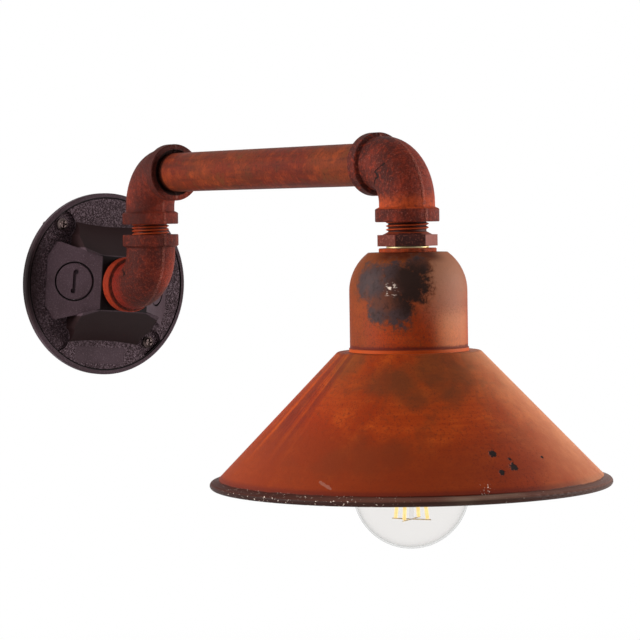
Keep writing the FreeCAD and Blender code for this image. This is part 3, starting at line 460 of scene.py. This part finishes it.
def shadePaint():
    marks = shadeMarks
    paint = Paint("rustShade")
    sheet = mottledSheet(paint)
    fine = paint.noise(sheetFinish["fineScale"], 4, 0.65) - 0.5
    chipped = paint.blots(marks["chips"], fine * 2.4 + 0.08, 0.2)
    wavy = sheet["height"] + (sheet["spots"] - 0.5) * 0.0012
    edge = paint.rise(wavy, marks["foot"], marks["foot"] - 0.0008)
    colour = shadeSmudges(paint, sheet, fine)
    colour = shadeStreaks(paint, sheet, colour)
    colour = shadeChips(paint, chipped, fine, colour)
    colour = paint.mix(edge * 0.95, colour, shadeRim(paint, sheet))
    relief = sheet["spun"] * 0.35 + sheet["grain"] * 0.65 - chipped * 1.4
    return sheetSurface(paint, sheet, colour, edge * 0.08, relief)


# the dark patch on the cup is a few blots; its core is nearly black and its middle worn
cupMarks = {
    "patch": [
        (mm(-27.0, -309.4, 6.4), 0.0096), (mm(-17.4, -324.5, 5.5), 0.0108),
        (mm(-24.5, -317.0, -5.0), 0.0085), (mm(-10.6, -324.2, 13.2), 0.0062),
        (mm(-23.6, -318.4, 2.2), 0.0104), (mm(-26.4, -313.4, -9.5), 0.0050),
        (mm(-20.5, -319.5, 9.5), 0.0080), (mm(-20.6, -322.1, -7.0), 0.0080)],
    "core": [(mm(-14.2, -326.5, 6.0), 0.0098), (mm(-15.2, -326.0, -2.0), 0.0085)],
    "worn": (mm(-22.7, -319.6, 2.2), 0.0030),
    "wornScale": (420, 420, 800),
    "wornTurn": (0.2, 0.4, 0.9),
    # a painted sheen on the right of the cup, and its colour
    "paintedSheen": (mm(6.0, -330.6, 6.0), 0.024),
    "paintedSheenColour": ink(138, 100, 80),
    # a painted sheen low on the right: its colour, side and heights
    "paintedLowSheen": ink(190, 128, 90),
    "paintedLowSheenSide": (0.3, 0.2, 0.6),
    "paintedLowSheenBelow": (-0.004, -0.014),
    "domeAbove": (-0.014, 0.016),
    "brownSide": (-1.9, 0.3, 0.9),
    # a stain under the washer, darkened further as painted shadow
    "stainAndShadow": ink(46, 8, 2),
    "stainAndShadowSide": (-0.6, 0.5, 1.0),
    "stainAndShadowAbove": (0.0140, 0.0180),
    "speckedBelow": (0.0, -0.012),
    "footBelow": (-0.0264, -0.0271),
    "shadowBelow": (-0.0246, -0.0258),
    # the colour of the painted glint on the foot
    "glow": ink(182, 74, 28),
}


# olive dome, a painted sheen on the right and another low on the right, brown on the left, and a stain
# with painted shadow under the washer
def cupSides(paint, sheet):
    look = sheetFinish
    marks = cupMarks
    height = sheet["height"]
    angle = sheet["angle"]
    centre, reach = marks["paintedSheen"]
    dome = paint.rise(height + (sheet["clouds"] - 0.5) * 0.02, *marks["domeAbove"])
    # the painted sheen on the right
    near = paint.rise(paint.distance(centre, (1, 1, 0.8)) / reach, 1.1, 0.3)
    specks = paint.rise(paint.noise(1200, 3, 0.65), 0.50, 0.60)
    specks = specks * paint.rise(height, *marks["speckedBelow"])
    # the stain and painted shadow under the washer
    stainAndShadow = paint.facing(angle, *marks["stainAndShadowSide"]) * paint.rise(height, *marks["stainAndShadowAbove"])
    # the painted sheen low on the right
    low = paint.facing(angle, *marks["paintedLowSheenSide"]) * paint.rise(height, *marks["paintedLowSheenBelow"])
    colour = paint.mix(dome * 0.7, sheet["colour"], look["olive"])
    colour = paint.mix(near * 0.6, colour, marks["paintedSheenColour"])
    colour = paint.mix(specks * 0.5, colour, look["brown"])
    colour = paint.mix(paint.facing(angle, *marks["brownSide"]) * 0.6, colour, look["brown"])
    colour = paint.mix(stainAndShadow * 0.85, colour, marks["stainAndShadow"])
    return paint.mix(low * 0.35, colour, marks["paintedLowSheen"])


# the large dark patch, feathered brown at its edge
def cupPatch(paint, sheet, patch, ragged, fine, colour):
    look = sheetFinish
    marks = cupMarks
    halo = paint.blots(marks["patch"], ragged - 0.22, 0.4)
    core = paint.blots(marks["core"], ragged * 0.8, 0.5)
    flecks = paint.noise(1.0, 4, 0.65, at=paint.stretched(marks["wornScale"], marks["wornTurn"]))
    worn = paint.blots([marks["worn"]], fine, 0.4) * paint.rise(flecks, 0.52, 0.60)
    dark = paint.mix(paint.rise(sheet["spots"], 0.42, 0.64) * 0.65, look["steel"], look["brown"])
    dark = paint.mix(paint.rise(fine, 0.0, 0.14) * 0.6, dark, look["soot"])
    dark = paint.mix(core, dark, look["soot"])
    colour = paint.mix(halo * 0.75, colour, look["brown"])
    colour = paint.mix(patch * 0.94, colour, dark)
    return paint.mix(worn * 0.8, colour, look["worn"])


# a painted shadow line and a painted glint line round the foot
def cupFoot(paint, sheet, fine, colour):
    marks = cupMarks
    # foot is the painted glint line, shadow the painted shadow line just above it
    foot = paint.rise(sheet["height"], *marks["footBelow"])
    shadow = paint.rise(sheet["height"] + fine * 0.002, *marks["shadowBelow"]) - foot
    colour = paint.mix(shadow * 0.85, colour, sheetFinish["plum"])
    return paint.mix(foot * 0.6, colour, marks["glow"])


def cupPaint():
    paint = Paint("rustCup")
    sheet = mottledSheet(paint)
    fine = paint.noise(sheetFinish["fineScale"], 4, 0.68) - 0.5
    ragged = (paint.noise(130, 5, 0.75, warp=0.5) - 0.5) * 1.7 + fine * 1.7
    patch = paint.blots(cupMarks["patch"], ragged + 0.02, 0.30)
    colour = cupSides(paint, sheet)
    colour = cupPatch(paint, sheet, patch, ragged, fine, colour)
    colour = cupFoot(paint, sheet, fine, colour)
    relief = sheet["spun"] * 0.3 + sheet["grain"] * 0.7 - patch * 0.4
    return sheetSurface(paint, sheet, colour, patch * 0.06, relief)


# cast fittings: dark red-brown, rough, orange where the finish is thick
castFinish = {
    "gloss": 0.08,
    "relief": 0.00055,
    "cloudScale": 30,
    "lumpScale": 520,
    "grainScale": 1300,
    "seamWidth": 0.0012,
    "mouth": (0.0131, 0.0125),  # radius of an elbow's mouth
    "mouthDepth": (0.0032, 0.0026),
    "crackWidth": 0.00055,
    "dark": ink(48, 12, 6),
    "middle": ink(106, 35, 20),
    "red": ink(132, 44, 22),
    "bloom": ink(144, 84, 70),
    "orange": ink(112, 32, 8),
    "flame": ink(156, 60, 22),
    "ember": ink(100, 16, 3),
    # near-black: painted shade in mouths and gaps, and the dark of cracks
    "hollow": ink(20, 5, 3),
}

# each tint is a band (direction, from, full, end, share, colour); hollow is the middle of an elbow's
# mouth on the arm's axis, inside which shade is painted; crack is a thin dark line; depth darkens the
# whole piece
toWall = (0, 1, 0)
toTop = (0, 0, 1)
toFloor = (0, 0, -1)
castMarks = {
    "lower_elbow": {
        "name": "rustCastingWall",
        "tints": [
            (toWall, -0.048, -0.038, 0.0, 0.7, "ember"), (toWall, -0.0365, -0.0355, 0.0, 0.8, "orange"),
            # painted shade: a thin near-black ring near the wall-side end
            (toWall, -0.0362, -0.0356, -0.0346, 0.9, "hollow")],
        "crack": [mm(-12.1, -45.2, 9.0), mm(-13.6, -50.5, 6.8), mm(-13.5, -48.1, 5.4)],
        "depth": 0.6,
    },
    "upper_elbow": {"name": "rustCastingRiser", "hollow": (0, -0.085, run["armZ"]), "depth": 0.95},
    "outer_elbow": {
        "name": "rustCastingDrop",
        "tints": [(toFloor, -0.050, -0.0422, -0.0408, 0.75, "flame")],
        "crack": [
            mm(-11.8, -300.6, 62.5), mm(-13.6, -295.0, 58.5), mm(-13.6, -297.9, 56.4),
            mm(-13.4, -295.0, 55.2), mm(-12.4, -292.8, 52.8)],
    },
    "cup_washer": {"name": "rustWasher", "tints": [(toTop, -0.2, -0.1, 0.5, 0.6, "flame")]},
}


def castPaint(name, tints=(), hollow=None, crack=None, depth=0.0):
    look = castFinish
    paint = Paint(name)
    clouds = paint.noise(look["cloudScale"], 4, 0.55)
    lumps = paint.noise(look["lumpScale"], 3, 0.6)
    grain = paint.noise(look["grainScale"], 4, 0.7)
    colour = paint.mix(paint.rise(clouds, 0.36, 0.64), look["dark"], look["middle"])
    colour = paint.mix(paint.rise(lumps, 0.48, 0.72) * 0.5, colour, look["red"])
    colour = paint.mix(paint.rise(lumps, 0.5, 0.3) * 0.5, colour, look["dark"])
    colour = paint.mix(paint.rise(grain, 0.56, 0.68) * 0.45, colour, look["bloom"])
    colour = paint.mix(paint.rise(grain, 0.46, 0.36) * 0.6, colour, look["dark"])
    # the seam of the mould runs round in the middle plane
    offMiddle = paint.along((1, 0, 0)).unsigned() + (lumps - 0.5) * 0.002
    seam = paint.rise(offMiddle, look["seamWidth"], look["seamWidth"] / 4)
    colour = paint.mix(seam * paint.rise(grain, 0.40, 0.60) * 0.5, colour, look["bloom"])
    colour = paint.mix(paint.rise(clouds, 0.75, 0.25) * depth, colour, look["dark"])
    for direction, start, full, end, share, tint in tints:
        reach = paint.along(direction)
        band = paint.rise(reach + (clouds - 0.5) * 0.006, start, full)
        band = band * paint.rise(reach, end + 0.0003, end)
        colour = paint.mix(band * paint.rise(lumps, 0.15, 0.6) * share, colour, look[tint])
    # painted shade inside the elbow's mouth, round the pipe that goes in
    if hollow is not None:
        inside = paint.rise(paint.distance(hollow, (1, 0, 1)), *look["mouth"])
        mouth = paint.rise((paint.along((0, 1, 0)) - hollow[1]).unsigned(), *look["mouthDepth"])
        colour = paint.mix(inside * mouth * 0.95, colour, look["hollow"])
    relief = lumps * 0.6 + grain * 0.7 + seam * 0.5
    if crack is not None:
        line = paint.strokes(crack, look["crackWidth"], (lumps - 0.5) * 1.6)
        colour = paint.mix(line * 0.95, colour, look["hollow"])
        relief = relief - line * 0.8
    rough = 0.5 + lumps * 0.16 + grain * 0.12
    return paint.finish(
        colour, rough, 0.0, paint.bump(relief, look["relief"]), Specular_IOR_Level=look["gloss"])


# the hexagon's sides are painted lit and shaded: the left side mid, the front side dark as painted
# shade, the right side pale as a painted highlight; the two angle pairs are where the front and right
# sides start
bushingFinish = {
    "left": ink(76, 28, 18),
    "front": ink(46, 22, 20),
    "right": ink(112, 60, 50),
    "shadedFrontFrom": (-1.05, -1.00),
    "litRightFrom": (0.0, 0.05),
    "hexBelow": (0.0292, 0.0288),
    # painted highlight on the thread crests and painted shade in the thread roots
    "crest": ink(150, 58, 26),
    "root": ink(52, 14, 6),
}


def bushingPaint():
    look = bushingFinish
    paint = Paint("rustBushing")
    height = paint.along((0, 0, 1))
    angle = paint.angle()
    clouds = paint.noise(90, 4, 0.6)
    grain = paint.noise(1000, 4, 0.65)
    # painted highlight on the crests and painted shade in the roots of the thread
    deep = paint.rise(paint.distance(dropAxis, (1, 1, 0)), run["threadCrest"], run["threadRoot"])
    threads = paint.mix(deep, look["crest"], look["root"])
    # painted light: each side of the hexagon gets its own lit or shaded colour
    head = paint.mix(paint.rise(angle, *look["shadedFrontFrom"]), look["left"], look["front"])
    head = paint.mix(paint.rise(angle, *look["litRightFrom"]), head, look["right"])
    head = paint.mix(paint.rise(clouds, 0.45, 0.68) * 0.35, head, castFinish["middle"])
    head = paint.mix(paint.rise(grain, 0.54, 0.64) * 0.45, head, castFinish["bloom"])
    colour = paint.mix(paint.rise(height, *look["hexBelow"]), threads, head)
    colour = paint.mix(paint.rise(grain, 0.55, 0.75) * 0.35, colour, castFinish["dark"])
    return paint.finish(
        colour, 0.42 + grain * 0.2, 0.0, paint.bump(grain + clouds, 0.0002),
        Specular_IOR_Level=castFinish["gloss"])


pipeFinish = {
    "red": ink(82, 25, 12),
    "brown": ink(90, 37, 16),
    "orange": ink(130, 54, 20),
    "olive": ink(78, 45, 20),
    "grime": ink(54, 22, 15),
    "grimeScale": (230, 26, 230),  # drawn out along the pipe
    "relief": 0.00014,
    # where the painted shade at the elbow starts
    "start": -0.0885,
}


def pipePaint():
    look = pipeFinish
    paint = Paint("rustPipe")
    clouds = paint.noise(26, 4, 0.55, warp=0.3)
    spots = paint.noise(150, 5, 0.65)
    long = paint.noise(1.0, 4, 0.6, at=paint.stretched(look["grimeScale"]))
    grain = paint.noise(850, 4, 0.68)
    dots = paint.noise(400, 3, 0.6)
    colour = paint.mix(paint.rise(clouds, 0.38, 0.62), look["red"], look["brown"])
    colour = paint.mix(paint.rise(spots, 0.46, 0.68) * 0.42, colour, look["orange"])
    colour = paint.mix(paint.rise(spots, 0.48, 0.32) * 0.6, colour, look["olive"])
    colour = paint.mix(paint.rise(long, 0.48, 0.64) * 0.45, colour, look["grime"])
    colour = paint.mix(paint.rise(grain, 0.52, 0.62) * 0.55, colour, look["grime"])
    colour = paint.mix(paint.rise(dots, 0.62, 0.68) * 0.6, colour, look["grime"])
    # painted shade where it goes into the elbow
    start = paint.along((0, 1, 0), (0, look["start"], 0)) + (spots - 0.5) * 0.003
    colour = paint.mix(paint.rise(start, 0.0, 0.0022) * 0.9, colour, castFinish["hollow"])
    rough = 0.44 + clouds * 0.1 + grain * 0.14
    return paint.finish(
        colour, rough, 0.0, paint.bump(grain * 0.6 + long * 0.3, look["relief"]),
        Specular_IOR_Level=sheetFinish["gloss"])


# the pipe's axis goes through centre; across holds 0 for its own direction
def threadPaint(name, centre, across):
    look = bushingFinish
    paint = Paint(name)
    clouds = paint.noise(120, 4, 0.6)
    grain = paint.noise(1200, 4, 0.7)
    # painted highlight on the crests and painted shade in the roots of the thread
    deep = paint.rise(paint.distance(centre, across), run["threadCrest"], run["threadRoot"])
    colour = paint.mix(deep, look["crest"], look["root"])
    colour = paint.mix(paint.rise(clouds, 0.42, 0.62) * 0.4, colour, castFinish["red"])
    colour = paint.mix(paint.rise(grain, 0.55, 0.75) * 0.4, colour, castFinish["dark"])
    return paint.finish(
        colour, 0.34 + grain * 0.15, 0.0, paint.bump(grain, 0.00008),
        Specular_IOR_Level=castFinish["gloss"])


# the box cover: worm-like pebbles on the flat field, smoother on rim, hub and ports;
# right and up are the cover's own directions, since it hangs a little turned
coverTurn = math.radians(5)
coverFinish = {
    "gloss": 0.06,
    "relief": 0.0005,
    "cloudScale": 28,
    "grainScale": 1500,
    "pebbleScale": 1250,
    "right": (math.cos(coverTurn), 0, -math.sin(coverTurn)),
    "up": (math.sin(coverTurn), 0, math.cos(coverTurn)),
    "field": 0.00515,  # how far the flat field stands out of the wall
    "fieldRadius": 0.0493,
    "fieldDepth": (0.0024, 0.0021),  # the pebbles end this far below the field
    "grooveTop": (0.0054, 0.0053),
    "hubTop": 0.0265,
    "flankFrom": (0.0151, 0.0157),  # where the flank between the ports starts, across and up
    "flankSlope": 0.371,
    # painted shade over the left side of the cover and its left edge
    "shadedLeftRim": (-0.038, -0.050),
    "shadedLeftEdge": (-0.0484, -0.0510),
    "plug": (0.0273, 0.0162),  # a closure plug's middle, across and out
    "plugGap": 0.0109,
    "plate": (-0.002, -0.0415, 0.016, 0.0046),  # centre and half sizes of the bare label plate
    "coat": ink(56, 42, 47),
    "light": ink(112, 94, 100),
    # dark is both a darker tone of the coat and the painted shade on the left side
    "dark": ink(32, 20, 21),
    # the colour of the painted shade on the flanks
    "shadedFlank": ink(24, 11, 10),
    # near-black for painted shade in the gaps and at the left edge
    "creviceShade": ink(10, 5, 5),
}


# 1 on the bare label plate, before the flat field bounds it
def coverPlate(paint, across, upward):
    x, y, halfLength, halfHeight = coverFinish["plate"]
    off = ((across - x).unsigned() - halfLength).orMore((upward - y).unsigned() - halfHeight)
    return paint.rise(off, 0.0003, 0.0)


# 1 where shade is painted: on the hub's top behind the elbow, in the groove round the field and in a
#                           ring
# round each plug
def coverShadedGaps(paint, out, middle):
    look = coverFinish
    shadedGaps = paint.rise(out, look["hubTop"] - 0.0004, look["hubTop"] - 0.0001)
    shadedGroove = paint.rise((middle - look["fieldRadius"] - 0.0004).unsigned(), 0.0006, 0.0003)
    shadedGaps = shadedGaps.orMore(shadedGroove * paint.rise(out, *look["grooveTop"]))
    for side in (-1, 1):
        reach, height = look["plug"]
        plug = [reach * side * part for part in look["right"]]
        ring = (paint.distance((plug[0], -height, plug[2])) - look["plugGap"]).unsigned()
        shadedGaps = shadedGaps.orMore(paint.rise(ring, 0.0006, 0.0003))
    return shadedGaps


# adds the pebbled field, the label plate, painted shade on the flanks and over the left side, and the
# painted shade in the gaps
def coverDetail(paint, colour, relief):
    look = coverFinish
    across = paint.along(look["right"])
    upward = paint.along(look["up"])
    out = paint.along((0, -1, 0))
    middle = paint.distance((0, 0, 0), (1, 0, 1))
    pebbles = paint.noise(look["pebbleScale"], 2, 0.5, warp=0.6)
    gone, full = look["fieldDepth"]
    low = paint.rise(out, look["field"] + 0.0007, look["field"] + 0.0003)
    deep = paint.rise(out, look["field"] - gone, look["field"] - full)
    inside = paint.rise(middle, look["fieldRadius"] + 0.0002, look["fieldRadius"] - 0.0002)
    plate = coverPlate(paint, across, upward) * low
    field = low * deep * inside * (1 - plate)
    acrossFrom, upFrom = look["flankFrom"]
    slope = (across.unsigned() - acrossFrom).orMore(0.0) * look["flankSlope"] + upFrom
    # painted shade on the flanks between the ports
    shadedFlank = paint.rise(upward.unsigned() - slope, 0.0, 0.0004) * (1 - low) * inside
    colour = paint.mix(field * paint.rise(pebbles, 0.5, 0.64) * 0.5, colour, look["light"])
    colour = paint.mix(field * paint.rise(pebbles, 0.48, 0.36) * 0.8, colour, look["dark"])
    colour = paint.mix(shadedFlank * 0.9, colour, look["shadedFlank"])
    # painted shade over the left side and its edge
    colour = paint.mix(paint.rise(across, *look["shadedLeftRim"]) * 0.85, colour, look["dark"])
    colour = paint.mix(paint.rise(across, *look["shadedLeftEdge"]) * 0.7, colour, look["creviceShade"])
    # painted shade in the gaps
    colour = paint.mix(coverShadedGaps(paint, out, middle) * 0.95, colour, look["creviceShade"])
    return colour, relief + field * pebbles * 2.4 + plate * 0.9


def coverPaint(name, pebbled):
    look = coverFinish
    paint = Paint(name)
    clouds = paint.noise(look["cloudScale"], 4, 0.6)
    grain = paint.noise(look["grainScale"], 3, 0.6)
    colour = paint.mix(paint.rise(clouds, 0.36, 0.64) * 0.4, look["coat"], look["dark"])
    colour = paint.mix(paint.rise(grain, 0.52, 0.72) * 0.25, colour, look["light"])
    relief = grain * 0.1
    if pebbled:
        colour, relief = coverDetail(paint, colour, relief)
    return paint.finish(
        colour, 0.46 + clouds * 0.12, 0.0, paint.bump(relief, look["relief"]),
        Specular_IOR_Level=look["gloss"])


# bare metals: colour, its clouds and roughness
metalFinish = {
    "screwMetal": {
        "inks": [ink(96, 82, 80), ink(56, 44, 43)], "rough": 0.34, "pieces": ["cover_screws"]},
    "brassMetal": {
        "inks": [ink(240, 226, 176), ink(206, 182, 112)], "rough": 0.5, "pieces": ["brass_washer"]},
    "shellBrass": {
        "inks": [ink(214, 184, 110), ink(170, 140, 80)], "rough": 0.32,
        "pieces": ["lampholder_shell", "lampholder_contact", "terminal_screws"]},
    "platedSteel": {
        "inks": [ink(206, 204, 200), ink(150, 148, 146)], "rough": 0.3,
        "pieces": ["hanging_rod", "rod_nut", "bulb_cap", "bulb_contact"]},
    "leadMetal": {
        "inks": [ink(196, 180, 140), ink(168, 150, 112)], "rough": 0.3, "pieces": ["filament_wires"]},
}


def metalPaint(name, inks, rough):
    paint = Paint(name)
    clouds = paint.noise(90, 4, 0.6)
    grain = paint.noise(600, 4, 0.65)
    colour = paint.mix(paint.rise(clouds, 0.4, 0.65) * 0.6, *inks)
    return paint.finish(colour, rough + grain * 0.16, 1.0, paint.bump(grain, 0.00004))


# moulded pieces, dark glass, foam and wire: colour, its clouds and roughness
plasticFinish = {
    "blackPlastic": {
        "inks": [ink(34, 33, 33), ink(48, 46, 45)], "rough": 0.45,
        "pieces": ["shade_ring", "lampholder_cap", "lampholder_base"]},
    "blackGlass": {
        "inks": [ink(24, 24, 30), ink(36, 36, 44)], "rough": 0.15, "pieces": ["bulb_insulator"]},
    "gasketFoam": {
        "inks": [ink(36, 36, 37), ink(56, 55, 54)], "rough": 0.8, "pieces": ["cover_gasket"]},
    "blackWire": {
        "inks": [ink(28, 28, 29), ink(42, 42, 42)], "rough": 0.4,
        "pieces": ["live_wire_arm", "live_wire_wall"]},
    "whiteWire": {
        "inks": [ink(226, 224, 218), ink(206, 204, 196)], "rough": 0.4,
        "pieces": ["neutral_wire_arm", "neutral_wire_wall"]},
}


def plasticPaint(name, inks, rough):
    paint = Paint(name)
    clouds = paint.noise(60, 3, 0.5)
    grain = paint.noise(900, 3, 0.6)
    colour = paint.mix(paint.rise(clouds, 0.4, 0.7) * 0.5, *inks)
    return paint.finish(colour, rough + grain * 0.1, 0.0, paint.bump(grain, 0.00005))


# clear glass, with painted shade that greys it at its edge; it hardly bends the light, as a thin wall
# does
bulbFinish = {
    "clear": [(0.915, 0.905, 0.895, 1), (0.925, 0.915, 0.905, 1)],
    "edge": (0.04, 0.07, 0.07, 1),
    "edgePower": 7.0,
    "bend": 1.03,
    "coat": ink(150, 120, 70),
    "glow": [ink(246, 214, 136), ink(250, 226, 160)],
    "glowScale": (60, 60, 900),
}


def glassPaint():
    look = bulbFinish
    paint = Paint("clearGlass")
    clouds = paint.noise(40, 2, 0.5)
    facing = Amount(paint, paint.add("ShaderNodeLayerWeight", None, {"Blend": 0.5}).outputs["Facing"])
    clear = paint.mix(clouds, *look["clear"])
    # painted shade towards the edge of the glass, where it turns away from the view
    colour = paint.mix(facing ** look["edgePower"], clear, look["edge"])
    return paint.finish(colour, 0.0, 0.0, Transmission_Weight=1.0, IOR=look["bend"])


def glowPaint():
    look = bulbFinish
    paint = Paint("glowingCoat")
    bands = paint.noise(1.0, 2, 0.5, at=paint.stretched(look["glowScale"]))
    warm = paint.mix(paint.rise(bands, 0.3, 0.7), *look["glow"])
    return paint.finish(
        look["coat"], 0.5 + bands * 0.1, 0.0, Emission_Color=warm, Emission_Strength=1.0)


def dress(material, *names):
    for name in names:
        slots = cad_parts[name].data.materials
        slots.clear()
        slots.append(material)


makeCamera()
makeStudio()

dress(shadePaint(), "lamp_shade")
dress(cupPaint(), "socket_cup")
print("shade and cup painted")

for piece in ("lower_elbow", "upper_elbow", "outer_elbow"):
    dress(castPaint(**castMarks[piece]), piece)
dress(bushingPaint(), "hex_bushing")
dress(pipePaint(), "arm_pipe")
dress(castPaint(**castMarks["cup_washer"]), "cup_washer")
dress(threadPaint("rustThreadRiser", (0, run["riserY"], 0), (1, 1, 0)), "riser_nipple")
dress(threadPaint("rustThreadWall", (0, 0, 0), (1, 0, 1)), "wall_nipple")
print("elbows and pipes painted")

dress(coverPaint("coverCoat", True), "cover_plate")
dress(coverPaint("plugCoat", False), "closure_plug_left", "closure_plug_right")
print("cover painted")

for name, metal in metalFinish.items():
    dress(metalPaint(name, metal["inks"], metal["rough"]), *metal["pieces"])
for name, plastic in plasticFinish.items():
    dress(plasticPaint(name, plastic["inks"], plastic["rough"]), *plastic["pieces"])
dress(glassPaint(), "bulb_glass", "bulb_stem")
dress(glowPaint(), "bulb_filaments")
print("bulb, lampholder, wires and small metal painted")
